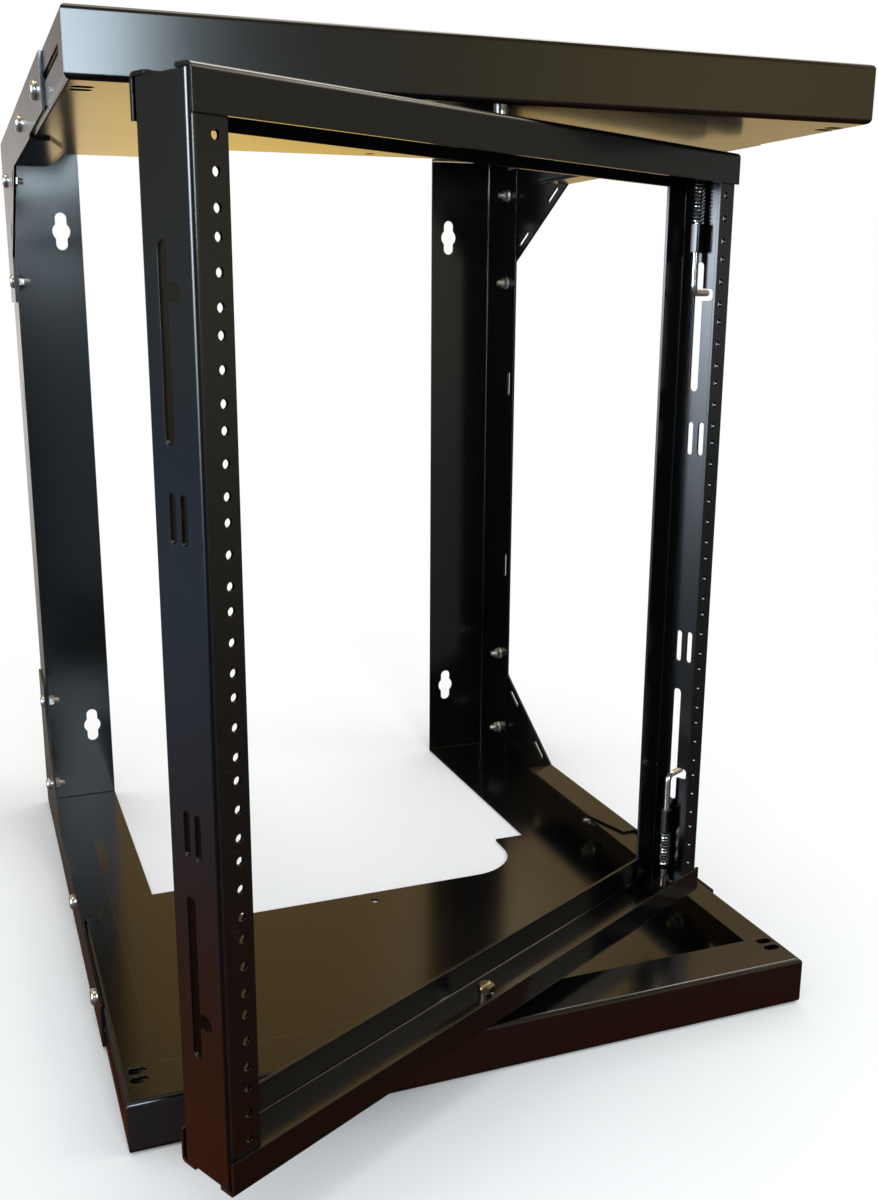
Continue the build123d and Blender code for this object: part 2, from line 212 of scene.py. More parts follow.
class NodeGraph:
    """Short hand for building a node tree."""

    def __init__(self, tree: bpy.types.NodeTree) -> None:
        """Keep the tree that the nodes go into."""
        self.tree = tree

    def feed(self, socket: bpy.types.NodeSocket, value: object) -> None:
        """Link a socket, or set its value.

        Args:
            socket: the input.
            value: another node's output, or a plain value.
        """
        if isinstance(value, bpy.types.NodeSocket):
            self.tree.links.new(value, socket)
        else:
            socket.default_value = value

    def set(self, node: bpy.types.Node, **inputs: object) -> bpy.types.Node:
        """Feed a node's inputs.

        Args:
            node: the node.
            inputs: values or outputs to link, by name with underscores for spaces.

        Returns:
            The same node.
        """
        for name, value in inputs.items():
            self.feed(node.inputs[name.replace("_", " ")], value)
        return node

    def add(self, kind: str, **inputs: object) -> bpy.types.Node:
        """Add a node of a kind and feed its inputs as set() does."""
        return self.set(self.tree.nodes.new(kind), **inputs)

    def group(self, tree: bpy.types.NodeTree, **inputs: object) -> bpy.types.Node:
        """Add a shader group node.

        Args:
            tree: what the group holds.
            inputs: as in set().

        Returns:
            The new node.
        """
        node = self.tree.nodes.new("ShaderNodeGroup")
        node.node_tree = tree
        return self.set(node, **inputs)

    def operate(self, kind: str, operation: str, *values: object) -> bpy.types.Node:
        """Add a node that has an operation.

        Args:
            kind: the node's type name.
            operation: what it does with its inputs.
            values: values or outputs to link, in the order of the inputs.

        Returns:
            The new node.
        """
        node = self.tree.nodes.new(kind)
        node.operation = operation
        for socket, value in zip(node.inputs, values):
            self.feed(socket, value)
        return node

    def math(self, operation: str, *values: object) -> bpy.types.NodeSocket:
        """Add a Math node and return its output."""
        return self.operate("ShaderNodeMath", operation, *values).outputs[0]

    def vector(self, operation: str, *values: object) -> bpy.types.Node:
        """Add a Vector Math node."""
        return self.operate("ShaderNodeVectorMath", operation, *values)

    def blend(self, factor: object, first: object, second: object) -> bpy.types.NodeSocket:
        """Mix two colours.

        Args:
            factor: share of the second colour.
            first: an RGBA colour or an output.
            second: an RGBA colour or an output.

        Returns:
            The mixed colour.
        """
        node = self.add("ShaderNodeMixRGB", Fac=factor, Color1=first, Color2=second)
        return node.outputs["Color"]

    def blend_shaders(self, factor: bpy.types.NodeSocket, first: bpy.types.Node,
                      second: bpy.types.Node) -> bpy.types.Node:
        """Mix two shaders.

        Args:
            factor: share of the second shader.
            first: a shader node.
            second: a shader node.

        Returns:
            The mixing node.
        """
        node = self.add("ShaderNodeMixShader", Fac=factor)
        self.feed(node.inputs[1], first.outputs[0])
        self.feed(node.inputs[2], second.outputs[0])
        return node

    def ramp(self, factor: bpy.types.NodeSocket,
             stops: tuple[tuple[float, Vec3], ...]) -> bpy.types.NodeSocket:
        """Add a colour ramp.

        Args:
            factor: what drives the ramp, 0 to 1.
            stops: positions and colours.

        Returns:
            The ramp's colour.
        """
        node = self.add("ShaderNodeValToRGB", Fac=factor)
        ramp = node.color_ramp
        while len(ramp.elements) < len(stops):
            ramp.elements.new(0.5)
        for element, (spot, colour) in zip(ramp.elements, stops):
            element.position = spot
            element.color = (*colour, 1.0)
        return node.outputs["Color"]


@dataclass(frozen=True)
class Skin:
    """Fine skin of a coating: cloud, orange peel and dust."""

    cloud_detail: float = 4.0
    cloud_roughness: float = 0.55
    peel_detail: float = 2.0
    peel_roughness: float = 0.4
    dust_scale: float = 420.0
    dust_detail: float = 3.0
    dust_from: float = 0.56
    inputs: tuple[tuple[str, float], ...] = (
        ("Roughness", 0.2), ("Cloud", 0.05), ("Cloud Scale", 9.0), ("Peel Scale", 900.0),
        ("Dust", 0.02))

    def build(self) -> bpy.types.NodeTree:
        """Make the shader node group.

        Returns:
            The group; its outputs are a roughness value, a height and a dust mask.
        """
        tree = bpy.data.node_groups.new("coating_skin", "ShaderNodeTree")
        face = tree.interface
        for name, default in self.inputs:
            socket = face.new_socket(name=name, in_out="INPUT",
                                     socket_type="NodeSocketFloat")
            socket.default_value = default
        for name in ("Roughness", "Height", "Dust"):
            face.new_socket(name=name, in_out="OUTPUT", socket_type="NodeSocketFloat")
        graph = NodeGraph(tree)
        given = graph.add("NodeGroupInput").outputs
        place = graph.add("ShaderNodeTexCoord").outputs["Object"]
        noise = "ShaderNodeTexNoise"
        cloud = graph.add(noise, Vector=place, Scale=given["Cloud Scale"],
                          Detail=self.cloud_detail,
                          Roughness=self.cloud_roughness).outputs["Fac"]
        peel = graph.add(noise, Vector=place, Scale=given["Peel Scale"],
                         Detail=self.peel_detail,
                         Roughness=self.peel_roughness).outputs["Fac"]
        speck = graph.add(noise, Vector=place, Scale=self.dust_scale,
                          Detail=self.dust_detail).outputs["Fac"]
        swing = graph.math("MULTIPLY", graph.math("SUBTRACT", cloud, 0.5), given["Cloud"])
        rough = graph.math("ADD", given["Roughness"], swing)
        above = graph.math("MAXIMUM", graph.math("SUBTRACT", speck, self.dust_from), 0.0)
        dust = graph.math("MULTIPLY", above, given["Dust"])
        graph.add("NodeGroupOutput", Roughness=graph.math("ADD", rough, dust), Height=peel,
                  Dust=dust)
        return tree


class FinishDraft:
    """Material in the making, with the skin group in its tree."""

    def __init__(self, name: str, skin: bpy.types.NodeTree, **settings: float) -> None:
        """Start the material.

        Args:
            name: name of the material.
            skin: the group that varies roughness and height.
            settings: inputs of the group, by name with underscores for spaces.
        """
        self.material = bpy.data.materials.new(name)
        self.material.use_nodes = True
        self.graph = NodeGraph(self.material.node_tree)
        self.detail = self.graph.group(skin, **settings).outputs

    def finish(self, clean: Vec3, dusty: Vec3, **inputs: object) -> bpy.types.Material:
        """Set the shader.

        Args:
            clean: colour where there is no dust.
            dusty: colour of the dust or stain.
            inputs: further inputs of the shader, by name with underscores for spaces.

        Returns:
            The material.
        """
        base = self.graph.blend(self.detail["Dust"], (*clean, 1.0), (*dusty, 1.0))
        shader = self.material.node_tree.nodes["Principled BSDF"]
        self.graph.set(shader, Base_Color=base, Roughness=self.detail["Roughness"],
                       **inputs)
        return self.material


@dataclass(frozen=True)
class PowderCoat:
    """Glossy black powder coat on sheet steel."""

    name: str = "black_powder_coat"
    colour: Vec3 = (0.0018, 0.0018, 0.0018)
    dust_colour: Vec3 = (0.10, 0.095, 0.09)
    roughness: float = 0.175
    cloud: float = 0.06
    peel_scale: float = 620.0
    peel_depth: float = 0.02 * MM
    peel_strength: float = 0.25
    dust: float = 0.1
    edge_radius: float = 0.6 * MM
    edge_samples: int = 4

    def build(self, skin: bpy.types.NodeTree) -> bpy.types.Material:
        """Make the material.

        Args:
            skin: the group that varies roughness and height.

        Returns:
            The material.
        """
        draft = FinishDraft(self.name, skin, Roughness=self.roughness, Cloud=self.cloud,
                            Peel_Scale=self.peel_scale, Dust=self.dust)
        edges = draft.graph.add("ShaderNodeBevel", Radius=self.edge_radius)
        edges.samples = self.edge_samples
        bump = draft.graph.add("ShaderNodeBump", Strength=self.peel_strength,
                               Distance=self.peel_depth, Height=draft.detail["Height"],
                               Normal=edges.outputs["Normal"])
        return draft.finish(self.colour, self.dust_colour, Normal=bump.outputs["Normal"])


@dataclass(frozen=True)
class BrightMetal:
    """Zinc plated or drawn steel."""

    name: str
    colour: Vec3
    roughness: float
    metallic: float = 0.9
    cloud: float = 0.10
    cloud_scale: float = 160.0
    grain: float = 1400.0
    grain_depth: float = 0.03 * MM
    grain_strength: float = 0.3
    stain: float = 0.6
    stain_shade: float = 0.7

    def build(self, skin: bpy.types.NodeTree) -> bpy.types.Material:
        """Make the material.

        Args:
            skin: the group that varies roughness and height.

        Returns:
            The material.
        """
        draft = FinishDraft(self.name, skin, Roughness=self.roughness, Cloud=self.cloud,
                            Cloud_Scale=self.cloud_scale, Peel_Scale=self.grain,
                            Dust=self.stain)
        bump = draft.graph.add("ShaderNodeBump", Strength=self.grain_strength,
                               Distance=self.grain_depth, Height=draft.detail["Height"])
        red, green, blue = (value * self.stain_shade for value in self.colour)
        return draft.finish(self.colour, (red, green, blue), Metallic=self.metallic,
                            Normal=bump.outputs["Normal"])


@dataclass(frozen=True)
class PinWithPaintedShade:
    """Bright drawn steel with painted shade: a dark, rougher band where the springs run, in place of the shade the
    coils cast on the rod.
    """

    base: BrightMetal = BrightMetal("latch_pin_steel", (0.71, 0.70, 0.67), 0.13)
    bands: tuple[tuple[float, float], ...] = ((0.0580, 0.0905), (0.5755, 0.6075))
    # Colour of the painted shade on the rod inside each spring
    painted_shade_colour: Vec3 = (0.012, 0.012, 0.013)
    haze: float = 0.2

    def build(self, skin: bpy.types.NodeTree) -> bpy.types.Material:
        """Make the material.

        Args:
            skin: the group that varies roughness and height.

        Returns:
            The material.
        """
        material = self.base.build(skin)
        graph = NodeGraph(material.node_tree)
        shader = material.node_tree.nodes["Principled BSDF"]
        unshaded_colour, smooth = (shader.inputs[name].links[0].from_socket
                       for name in ("Base Color", "Roughness"))
        # Painted shade: darken the pin and raise its roughness within the spring bands, standing in for the shade
        # of the coils
        place = graph.add("ShaderNodeTexCoord").outputs["Object"]
        up = graph.add("ShaderNodeSeparateXYZ", Vector=place).outputs["Z"]
        painted_shade_mask = graph.math("ADD", *(
            graph.math("COMPARE", up, (low + high) / 2, (high - low) / 2)
            for low, high in self.bands))
        rough = graph.math("ADD", smooth, graph.math("MULTIPLY", painted_shade_mask, self.haze))
        graph.set(shader, Base_Color=graph.blend(painted_shade_mask, unshaded_colour, (*self.painted_shade_colour, 1.0)),
                  Roughness=rough)
        return material


@dataclass(frozen=True)
class EngravedMark:
    """Dull dark line where a mark is cut into the glossy coat."""

    name: str = "engraved_mark"
    colour: Vec3 = (0.003, 0.003, 0.003)
    dust_colour: Vec3 = (0.02, 0.02, 0.02)
    roughness: float = 0.6

    def build(self, skin: bpy.types.NodeTree) -> bpy.types.Material:
        """Make the material from the shared skin group."""
        draft = FinishDraft(self.name, skin, Roughness=self.roughness)
        return draft.finish(self.colour, self.dust_colour)


@dataclass
class Finishes:
    """Every finish of the rack, built once."""

    coat: bpy.types.Material = field(init=False)
    zinc: bpy.types.Material = field(init=False)
    wire: bpy.types.Material = field(init=False)
    pin: bpy.types.Material = field(init=False)
    screw: bpy.types.Material = field(init=False)
    mark: bpy.types.Material = field(init=False)

    def __post_init__(self) -> None:
        """Build the shared group and the materials."""
        skin = Skin().build()
        self.coat = PowderCoat().build(skin)
        self.zinc = BrightMetal("zinc_hardware", (0.78, 0.77, 0.74), 0.14).build(skin)
        self.wire = BrightMetal("spring_steel", (0.66, 0.66, 0.66), 0.2).build(skin)
        # The latch pins carry painted shade where the springs run
        self.pin = PinWithPaintedShade().build(skin)
        self.screw = BrightMetal("plated_screw", (0.84, 0.78, 0.68), 0.14,
                                 metallic=1.0).build(skin)
        self.mark = EngravedMark().build(skin)


# Repeated pieces with Geometry Nodes


class PointCopies:
    """Geometry Nodes tree that sets turned copies of one piece on points."""

    def __init__(self) -> None:
        """Build the tree with its named inputs."""
        self.tree = bpy.data.node_groups.new("copies_on_points", "GeometryNodeTree")
        face = self.tree.interface
        for name, kind in (("Points", "NodeSocketGeometry"), ("Piece", "NodeSocketObject"),
                           ("Turn", "NodeSocketRotation"), ("Size", "NodeSocketFloat"),
                           ("Finish", "NodeSocketMaterial")):
            socket = face.new_socket(name=name, in_out="INPUT", socket_type=kind)
            if name == "Size":
                socket.default_value = 1.0
        face.new_socket(name="Geometry", in_out="OUTPUT", socket_type="NodeSocketGeometry")
        graph = NodeGraph(self.tree)
        given = graph.add("NodeGroupInput").outputs
        info = graph.add("GeometryNodeObjectInfo", Object=given["Piece"])
        copies = graph.add("GeometryNodeInstanceOnPoints", Points=given["Points"],
                           Instance=info.outputs["Geometry"], Rotation=given["Turn"],
                           Scale=given["Size"])
        real = graph.add("GeometryNodeRealizeInstances",
                         Geometry=copies.outputs["Instances"])
        dressed = graph.add("GeometryNodeSetMaterial", Geometry=real.outputs["Geometry"],
                            Material=given["Finish"])
        graph.add("NodeGroupOutput", Geometry=dressed.outputs["Geometry"])

    def make(self, name: str, piece: bpy.types.Object, spots: list[Vector], turn: Matrix,
             finish: bpy.types.Material) -> bpy.types.Object:
        """Set the copies and bake them to a plain mesh.

        Args:
            name: name of the result.
            piece: what is copied; built round the origin.
            spots: where each copy goes, in metres.
            turn: rotation of every copy.
            finish: material of every copy.

        Returns:
            One object at the origin that holds every copy.
        """
        mesh = bpy.data.meshes.new(name + "_spots")
        mesh.from_pydata([tuple(spot) for spot in spots], [], [])
        holder = new_object(name + "_holder", mesh)
        modifier = holder.modifiers.new("copies", "NODES")
        modifier.node_group = self.tree
        values = {"Piece": piece, "Turn": turn.to_euler(), "Finish": finish}
        for item in self.tree.interface.items_tree:
            if item.in_out == "INPUT" and item.name in values:
                modifier[item.identifier] = values[item.name]
        graph = bpy.context.evaluated_depsgraph_get()
        graph.update()
        baked = bpy.data.meshes.new_from_object(holder.evaluated_get(graph))
        holder.modifiers.clear()
        bpy.data.objects.remove(holder)
        baked.name = name
        return new_object(name, baked)


# Sub-assemblies


@dataclass
class GateAxes:
    """Place and turn of the swing frame, read from the record."""

    pivot: Vector = field(init=False)
    along: Vector = field(init=False)
    behind: Vector = field(init=False)
    face: float = field(init=False)

    def __post_init__(self) -> None:
        """Read the hinge and the first rack hole, which lies halfway into its sheet."""
        hinge = next(j for j in FRAME["joints"] if j["name"] == "frame_swing")
        hole = next(m for m in FRAME["record"]["mounts"] if m["name"].startswith("rack_"))
        self.pivot = Vector(hinge["pos_m"])
        out = Vector(hole["axis"])
        self.behind = -out
        self.along = Vector((self.behind.y, -self.behind.x, 0.0))
        self.face = (Vector(hole["pos_m"]) - self.pivot).dot(out) + SHEET / 2

    def matrix(self) -> Matrix:
        """Give the turn from the room's axes to those of the swing frame."""
        up = Vector((0.0, 0.0, 1.0))
        return Matrix((self.along, self.behind, up)).transposed().to_4x4()

    def spot(self, across: float, behind: float, up: float) -> Vector:
        """Give the point so far along the frame, behind the pivot, and up."""
        flat = self.pivot + self.along * across + self.behind * behind
        return Vector((flat.x, flat.y, up))


@dataclass
class CornerBolts:
    """Button head bolts, flange nuts and thread ends of the four corner plates."""

    finishes: Finishes
    copies: PointCopies
    head_r: float = 6.2 * MM
    head_h: float = 3.2 * MM
    foot_r: float = 6.138 * MM
    brim_h: float = 0.5 * MM
    crown: float = 0.55
    dome_steps: int = 7
    head_sides: int = 24
    socket_r: float = 2.438 * MM
    socket_depth: float = 1.7 * MM
    flange_r: float = 6.549 * MM
    flange_rim: float = 0.7 * MM
    flange_h: float = 1.1 * MM
    flange_top_r: float = 5.439 * MM
    flange_sides: int = 28
    nut_r: float = 5.55 * MM
    nut_levels: tuple[tuple[float, float], ...] = (
        (0.9 * MM, 1.0), (5.4 * MM, 1.0), (5.8 * MM, 0.93))
    shank_r: float = 3.0 * MM
    shank_sides: int = 20
    thread_foot: float = 5.3 * MM
    thread_from: float = 5.6 * MM
    thread_pitch: float = 1.0 * MM
    thread_turns: int = 5
    thread_root: float = 0.86
    tip_size: float = 0.72
    tip_h: float = 0.5 * MM
    smooth_angle: float = 28.0

    def head(self) -> bpy.types.Object:
        """Make a domed head with a hex socket; it stands along +Z from the sheet.

        Returns:
            The head, with its foot at the origin.
        """
        bm = bmesh.new()
        profile = [(0.0, 0.0), (self.foot_r, 0.0)]
        for step in range(self.dome_steps + 1):
            angle = math.pi / 2 * step / self.dome_steps
            size = self.crown + (1.0 - self.crown) * math.cos(angle)
            rise = (self.head_h - self.brim_h) * math.sin(angle)
            profile.append((self.head_r * size, self.brim_h + rise))
        profile.append((self.socket_r, self.head_h))
        lathe(bm, profile, self.head_sides)
        rim = [v for v in bm.verts if abs(v.co.z - self.head_h) < WELD
               and abs(v.co.xy.length - self.socket_r) < NEAR]
        for vert in rim:
            angle = math.atan2(vert.co.y, vert.co.x) % HEX_TURN
            flat = math.cos(HEX_TURN / 2) / math.cos(angle - HEX_TURN / 2)
            vert.co.xy = vert.co.xy.normalized() * self.socket_r * flat
        ring = [e for e in bm.edges if e.is_boundary and all(v in rim for v in e.verts)]
        lip = bmesh.ops.extrude_edge_only(bm, edges=ring)["geom"]
        low = [g for g in lip if isinstance(g, bmesh.types.BMVert)]
        bmesh.ops.translate(bm, verts=low, vec=(0.0, 0.0, -self.socket_depth))
        bm.faces.new(sorted(low, key=lambda v: math.atan2(v.co.y, v.co.x)))
        return mesh_object("bolt_head", bm, self.finishes.zinc, self.smooth_angle)

    def nut(self) -> bpy.types.Object:
        """Make a flanged hex nut with the thread's end; it stands along +Z.

        Returns:
            The nut, with its flange at the origin.
        """
        bm = bmesh.new()
        lathe(bm, [(0.0, 0.0), (self.flange_r, 0.0), (self.flange_r, self.flange_rim),
                   (self.flange_top_r, self.flange_h), (0.0, self.flange_h)],
              self.flange_sides)
        flats = [polygon(bm, size * self.nut_r, level, HEX_SIDES)
                 for level, size in self.nut_levels]
        for low, high in zip(flats, flats[1:]):
            wall(bm, low, high)
        bm.faces.new(flats[-1])
        bm.faces.new(flats[0][::-1])
        profile = [(0.0, self.thread_foot)]
        for half_turn in range(self.thread_turns * 2 + 1):
            size = 1.0 if half_turn % 2 else self.thread_root
            level = self.thread_from + half_turn * self.thread_pitch / 2
            profile.append((self.shank_r * size, level))
        end = self.thread_from + self.thread_turns * self.thread_pitch + self.tip_h
        profile += [(self.shank_r * self.tip_size, end), (0.0, end)]
        lathe(bm, profile, self.shank_sides)
        return mesh_object("nut", bm, self.finishes.zinc, self.smooth_angle)

    def build(self) -> list[bpy.types.Object]:
        """Make the bolts and nuts of every corner; two sheets lie between them.

        Returns:
            One piece of heads and one of nuts for each corner.
        """
        head, nut = self.head(), self.nut()
        made = []
        for height in Height:
            for side in Side:
                corner = f"{height.name.lower()}_{side.name.lower()}"
                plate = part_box(f"{corner}_gusset")
                outer = plate[1][0] if side is Side.RIGHT else plate[0][0]
                inner = outer - side.value * 2 * SHEET
                for kind, piece, face, sign in (("bolts", head, outer, 1),
                                                ("nuts", nut, inner, -1)):
                    node = f"{corner}_{kind}"
                    spots = [Vector((face, (low.y + high.y) / 2, (low.z + high.z) / 2))
                             for low, high in islands(FRAME["nodes"][node])]
                    turn = Matrix.Rotation(side.value * sign * math.pi / 2, 4, "Y")
                    obj = self.copies.make(f"{corner}_{kind}_set", piece, spots, turn,
                                           self.finishes.zinc)
                    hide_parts(node)
                    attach(obj, "frame")
                    made.append(obj)
        for piece in (head, nut):
            bpy.data.objects.remove(piece)
        return made


@dataclass
class PinGuide:
    """Folded strap on the right rail's web that leads one latch pin."""

    finishes: Finishes
    axes: GateAxes
    height: Height
    web: float = 244.5 * MM
    reach: float = 11.1 * MM
    width: float = 8.8 * MM
    sheet: float = 1.4 * MM
    bend_r: float = 2.4 * MM
    bend_steps: int = 6
    pin_behind: float = 3.0 * MM
    edge_r: float = 0.25 * MM

    def outline(self, inset: float) -> list[tuple[float, float]]:
        """Give the strap's outline seen from above, from one foot round to the other.

        Args:
            inset: distance inwards from the outer face.

        Returns:
            Points along the frame and behind the pivot, in metres.
        """
        half = self.width / 2 - inset
        low = self.web - self.reach + inset
        radius = self.bend_r - inset
        points = [(self.web, self.pin_behind - half)]
        for sign, start in ((-1, 0.0), (1, math.pi / 2)):
            for step in range(self.bend_steps + 1):
                angle = start + math.pi / 2 * step / self.bend_steps
                turn = angle if sign < 0 else math.pi - angle
                aside = half - radius + radius * math.cos(turn)
                points.append((low + radius - radius * math.sin(turn),
                               self.pin_behind + sign * aside))
        points.append((self.web, self.pin_behind + half))
        return points

    def build(self) -> bpy.types.Object:
        """Make the strap in the place of the CAD guide.

        Returns:
            The strap.
        """
        word = "upper" if self.height is Height.TOP else "lower"
        node = f"{word}_pin_guide"
        low, high = (corner[2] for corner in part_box(node))
        levels = ((low, self.edge_r), (low + self.edge_r, 0.0),
                  (high - self.edge_r, 0.0), (high, self.edge_r))
        bm = bmesh.new()
        rings = []
        for up, trim in levels:
            loop = self.outline(trim) + self.outline(self.sheet - trim)[::-1]
            rings.append([bm.verts.new(self.axes.spot(x, y, up)) for x, y in loop])
        for under, over in zip(rings, rings[1:]):
            wall(bm, under, over)
        last = len(rings[0]) - 1
        for ring in (rings[0], rings[-1]):
            for step in range(last // 2):
                bm.faces.new([ring[step], ring[step + 1], ring[last - 1 - step],
                              ring[last - step]])
        obj = mesh_object(f"{word}_guide_strap", bm, self.finishes.coat)
        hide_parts(node)
        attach(obj, "gate")
        return obj


@dataclass
class RailMarks:
    """Short engraved lines that part the rack units on both rails."""

    finishes: Finishes
    copies: PointCopies
    axes: GateAxes
    hole_lines: float = 465.1 * MM
    unit: float = 44.45 * MM
    units: int = 12
    near: float = 1.4 * MM
    length: float = 6.2 * MM
    width: float = 0.35 * MM
    proud: float = 0.06 * MM
    edge: float = 0.02 * MM

    def build(self) -> bpy.types.Object:
        """Make the lines as one thin piece.

        Returns:
            The piece that holds every line.
        """
        bm = bmesh.new()
        bmesh.ops.create_cube(bm, size=1.0)
        bmesh.ops.scale(bm, verts=bm.verts, vec=(self.length, self.proud * 2, self.width))
        bmesh.ops.bevel(bm, geom=bm.edges[:], offset=self.edge, segments=1)
        line = mesh_object("mark_line", bm, self.finishes.mark)
        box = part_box("left_rack_rail")
        middle = (box[0][2] + box[1][2]) / 2
        from_middle = self.hole_lines / 2 + self.near + self.length / 2
        spots = []
        for side in Side:
            for step in range(1, self.units):
                up = middle + (step - self.units / 2) * self.unit
                spots.append(self.axes.spot(side.value * from_middle, -self.axes.face, up))
        obj = self.copies.make("rail_unit_marks", line, spots, self.axes.matrix(),
                               self.finishes.mark)
        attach(obj, "gate")
        bpy.data.objects.remove(line)
        return obj


@dataclass
class CoatedNodes:
    """Carried-over CAD pieces that only take a finish."""

    finishes: Finishes

    def build(self) -> None:
        """Give each CAD node the finish of its material slot, or of its name's end."""
        by_slot = {"black_powder_coat": self.finishes.coat,
                   "zinc_hardware": self.finishes.zinc, "spring_steel": self.finishes.wire}
        by_name = {"latch_pin": self.finishes.pin, "pivot_screw": self.finishes.screw}
        for part in FRAME["record"]["subparts"]:
            obj = FRAME["nodes"].get(part["node"])
            if obj is None:
                continue
            finish = by_slot[part["material_slot"]]
            for ending, other in by_name.items():
                if part["node"].endswith(ending):
                    finish = other
            for slot in obj.material_slots:
                slot.material = finish


# Studio


@dataclass(frozen=True)
class Glow:
    """Soft patch of the room that the gloss shows: where, how tight, and its colour."""

    way: Vec3
    tightness: float
    colour: Vec3


@dataclass(frozen=True)
class Panel:
    """Rectangular soft lamp."""

    name: str
    spot: Vec3
    aim: Vec3
    size: tuple[float, float]
    power: float
    colour: Vec3


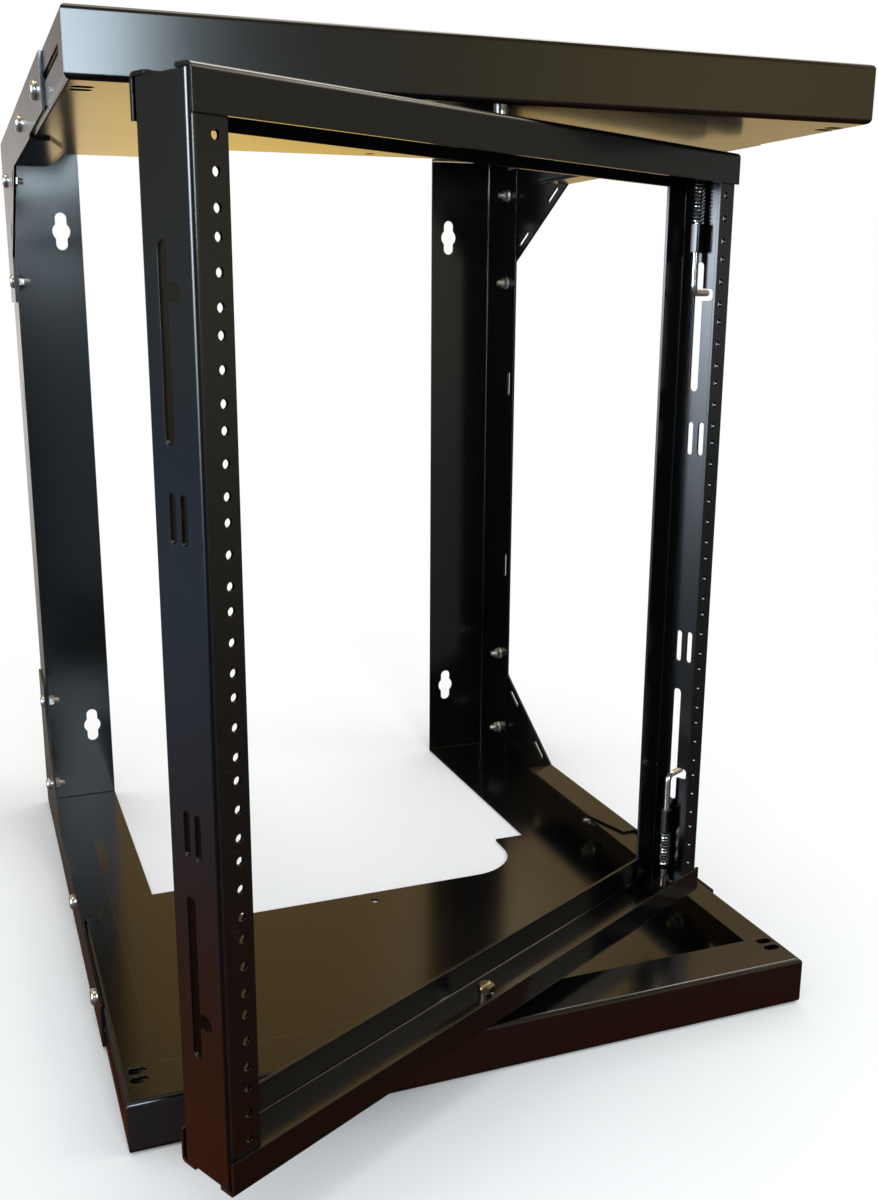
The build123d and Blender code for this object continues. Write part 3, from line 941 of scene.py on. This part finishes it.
@dataclass
class Studio:
    """Camera, floor and light."""

    spot: Vec3 = (-0.3209, -1.2854, 0.5204)
    tilt: float = -0.2355
    roll: float = 0.0015
    pan: float = -0.3496
    focal_px: float = 1230.9
    centre_px: tuple[float, float] = (399.94, 595.66)
    image_px: tuple[int, int] = (878, 1200)
    sensor: float = 36.0
    clip: tuple[float, float] = (0.01, 50.0)
    floor_size: float = 8.0
    floor_drop: float = 0.0005
    floor_colour: Vec3 = (0.93, 0.93, 0.93)
    floor_roughness: float = 0.9
    fade: tuple[float, float] = (0.45, 1.1)
    white: tuple[float, float, float, float] = (1.0, 1.0, 1.0, 1.0)
    soft_light: Vec3 = (0.80, 0.80, 0.80)
    room_levels: tuple[tuple[float, Vec3], ...] = (
        (0.0, (0.02, 0.006, 0.002)), (0.20, (0.08, 0.022, 0.006)),
        (0.33, (0.05, 0.05, 0.05)), (0.44, (0.09, 0.11, 0.13)),
        (0.50, (0.26, 0.27, 0.26)), (0.58, (0.18, 0.18, 0.17)),
        (0.75, (0.41, 0.28, 0.10)), (1.0, (0.42, 0.33, 0.20)))
    glows: tuple[Glow, ...] = (
        Glow((0.55, -0.82, 0.15), 42.0, (1.00, 0.76, 0.26)),
        Glow((0.86, -0.48, -0.02), 22.0, (0.30, 0.25, 0.12)),
        Glow((-0.98, -0.10, 0.17), 50.0, (31.0, 35.5, 41.0)),
        Glow((-0.97, 0.20, -0.22), 30.0, (0.10, 0.13, 0.18)),
        Glow((-0.87, 0.45, -0.24), 60.0, (0.16, 0.28, 0.42)),
        Glow((0.09, -0.98, -0.16), 22.0, (0.24, 0.36, 0.46)),
        Glow((0.45, -0.70, -0.55), 12.0, (0.17, 0.02, 0.0)),
        Glow((-0.71, 0.36, -0.60), 25.0, (0.25, 0.06, 0.01)),
        Glow((-0.06, 0.99, -0.05), 55.0, (0.64, 0.61, 0.67)),
        Glow((0.22, 0.97, -0.11), 45.0, (1.30, 0.82, 0.10)),
        Glow((0.62, 0.77, -0.12), 36.0, (0.62, 0.42, 0.13)),
        Glow((0.02, -0.80, -0.60), 120.0, (0.17, 0.27, 0.29)),
        Glow((-0.40, 0.91, -0.08), 25.0, (0.09, 0.12, 0.16)),
        Glow((0.20, 0.84, 0.50), 14.0, (0.25, 0.14, 0.04)),
        Glow((0.355, 0.782, 0.512), 900.0, (1.3, 1.15, 0.9)),
        Glow((0.80, 0.0, 0.60), 220.0, (9.0, 8.7, 7.8)),
        Glow((0.46, 0.41, 0.79), 60.0, (9.0, 8.8, 8.2)))
    panels: tuple[Panel, ...] = (
        Panel("panel_front", (-0.13, -2.60, 1.05), (-0.13, 0.0, 0.9), (0.42, 0.75), 23.0,
              (0.73, 0.89, 1.0)),
        Panel("panel_right", (1.9, -1.2, 1.8), (0.0, -0.3, 0.3), (0.8, 0.8), 6.0,
              (1.0, 0.92, 0.80)),
        Panel("panel_top", (0.0, -0.3, 2.8), (0.0, -0.3, 0.0), (1.6, 1.6), 22.0,
              (1.0, 0.98, 0.95)))

    def camera(self) -> None:
        """Set the camera where the photo was taken."""
        data = bpy.data.cameras.new("camera")
        wide, high = self.image_px
        longest = max(wide, high)
        data.sensor_width = self.sensor
        data.lens = self.focal_px / longest * self.sensor
        data.shift_x = (wide / 2 - self.centre_px[0]) / longest
        data.shift_y = (self.centre_px[1] - high / 2) / longest
        data.clip_start, data.clip_end = self.clip
        cam = new_object("camera", data)
        cam.location = self.spot
        cam.rotation_euler = (math.pi / 2 + self.tilt, self.roll, self.pan)
        bpy.context.scene.camera = cam

    @staticmethod
    def seen(graph: NodeGraph, path: bpy.types.Node) -> bpy.types.NodeSocket:
        """Give the mask of rays that the camera sees, also through clear things."""
        return graph.math("MAXIMUM", path.outputs["Is Camera Ray"],
                          path.outputs["Is Transmission Ray"])

    def floor(self) -> None:
        """Lay a plain pale floor: it keeps the shadow and fades to white further off."""
        half = self.floor_size / 2
        bm = bmesh.new()
        bm.faces.new([bm.verts.new((x * half, y * half, -self.floor_drop))
                      for x, y in ((-1, -1), (1, -1), (1, 1), (-1, 1))])
        material = bpy.data.materials.new("pale_floor")
        material.use_nodes = True
        graph = NodeGraph(material.node_tree)
        shader = graph.set(material.node_tree.nodes["Principled BSDF"],
                           Base_Color=(*self.floor_colour, 1.0),
                           Roughness=self.floor_roughness, Specular_IOR_Level=0.0)
        place = graph.add("ShaderNodeTexCoord").outputs["Object"]
        middle = (CAD_BOX[0] + CAD_BOX[1]) / 2
        away = graph.vector("DISTANCE", place, (middle.x, middle.y, 0.0))
        begin, end = self.fade
        fade = graph.add("ShaderNodeMapRange", Value=away.outputs["Value"],
                         From_Min=begin, From_Max=end)
        fade.interpolation_type = "SMOOTHSTEP"
        path = graph.add("ShaderNodeLightPath")
        white = graph.add("ShaderNodeEmission", Color=self.white, Strength=1.0)
        far = graph.math("MULTIPLY", fade.outputs["Result"], self.seen(graph, path))
        near = graph.blend_shaders(far, shader, white)
        clear = graph.add("ShaderNodeBsdfTransparent")
        gloss = graph.blend_shaders(path.outputs["Is Glossy Ray"], near, clear)
        graph.set(material.node_tree.nodes["Material Output"], Surface=gloss.outputs[0])
        mesh_object("floor", bm, material)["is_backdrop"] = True

    def glow_group(self) -> bpy.types.NodeTree:
        """Make the shader node group of one glow: a round soft patch of light.

        Returns:
            The group; its output is a colour.
        """
        tree = bpy.data.node_groups.new("soft_glow", "ShaderNodeTree")
        face = tree.interface
        for name, kind in (("Look", "NodeSocketVector"), ("Way", "NodeSocketVector"),
                           ("Tightness", "NodeSocketFloat"), ("Colour", "NodeSocketColor")):
            face.new_socket(name=name, in_out="INPUT", socket_type=kind)
        face.new_socket(name="Colour", in_out="OUTPUT", socket_type="NodeSocketColor")
        graph = NodeGraph(tree)
        given = graph.add("NodeGroupInput").outputs
        dot = graph.vector("DOT_PRODUCT", given["Look"], given["Way"]).outputs["Value"]
        fall = graph.math("MULTIPLY", graph.math("SUBTRACT", dot, 1.0), given["Tightness"])
        tinted = graph.vector("SCALE", given["Colour"])
        graph.set(tinted, Scale=graph.math("EXPONENT", fall))
        graph.add("NodeGroupOutput", Colour=tinted.outputs["Vector"])
        return tree

    def world(self) -> None:
        """Set even soft light, a white background, and a dim warm room in the gloss."""
        world = bpy.data.worlds.new("studio")
        bpy.context.scene.world = world
        world.use_nodes = True
        graph = NodeGraph(world.node_tree)
        look = graph.add("ShaderNodeTexCoord").outputs["Generated"]
        up = graph.add("ShaderNodeSeparateXYZ", Vector=look).outputs["Z"]
        room = graph.ramp(graph.math("MULTIPLY_ADD", up, 0.5, 0.5), self.room_levels)
        tree = self.glow_group()
        for glow in self.glows:
            patch = graph.group(tree, Look=look, Way=Vector(glow.way).normalized(),
                                Tightness=glow.tightness, Colour=(*glow.colour, 1.0))
            room = graph.vector("ADD", room, patch.outputs["Colour"]).outputs["Vector"]
        path = graph.add("ShaderNodeLightPath")
        lit = graph.blend(path.outputs["Is Glossy Ray"], (*self.soft_light, 1.0), room)
        shown = graph.blend(self.seen(graph, path), lit, self.white)
        graph.set(world.node_tree.nodes["Background"], Color=shown)

    def lamps(self) -> None:
        """Set the soft panels: cool in front, warm at the right, nearly white above."""
        for panel in self.panels:
            data = bpy.data.lights.new(panel.name, "AREA")
            data.shape = "RECTANGLE"
            data.size, data.size_y = panel.size
            data.energy = panel.power
            data.color = panel.colour
            lamp = new_object(panel.name, data)
            lamp.location = panel.spot
            way = Vector(panel.aim) - Vector(panel.spot)
            lamp.rotation_euler = way.to_track_quat("-Z", "Y").to_euler()

    def build(self) -> None:
        """Set up the whole studio."""
        self.camera()
        self.floor()
        self.world()
        self.lamps()
        bpy.context.scene.view_settings.view_transform = "Standard"


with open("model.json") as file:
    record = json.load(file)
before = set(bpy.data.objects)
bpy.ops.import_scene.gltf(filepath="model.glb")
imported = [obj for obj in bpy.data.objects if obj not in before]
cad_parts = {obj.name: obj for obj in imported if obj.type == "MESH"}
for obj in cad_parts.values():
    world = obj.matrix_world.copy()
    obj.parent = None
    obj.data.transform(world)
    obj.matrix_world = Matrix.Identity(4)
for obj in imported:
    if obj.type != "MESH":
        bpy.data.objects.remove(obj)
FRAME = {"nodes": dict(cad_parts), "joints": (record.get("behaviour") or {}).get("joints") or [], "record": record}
CAD_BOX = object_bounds()


def main() -> None:
    """Build every piece and report it."""
    logging.basicConfig(level=logging.INFO)
    finishes = Finishes()
    copies = PointCopies()
    axes = GateAxes()
    Studio().build()
    CoatedNodes(finishes).build()
    pieces = CornerBolts(finishes, copies).build()
    pieces += [PinGuide(finishes, axes, height).build() for height in Height]
    pieces.append(RailMarks(finishes, copies, axes).build())
    for obj in pieces:
        log.info("piece %s with %d faces", obj.name, len(obj.data.polygons))


if __name__ == "__main__":
    main()
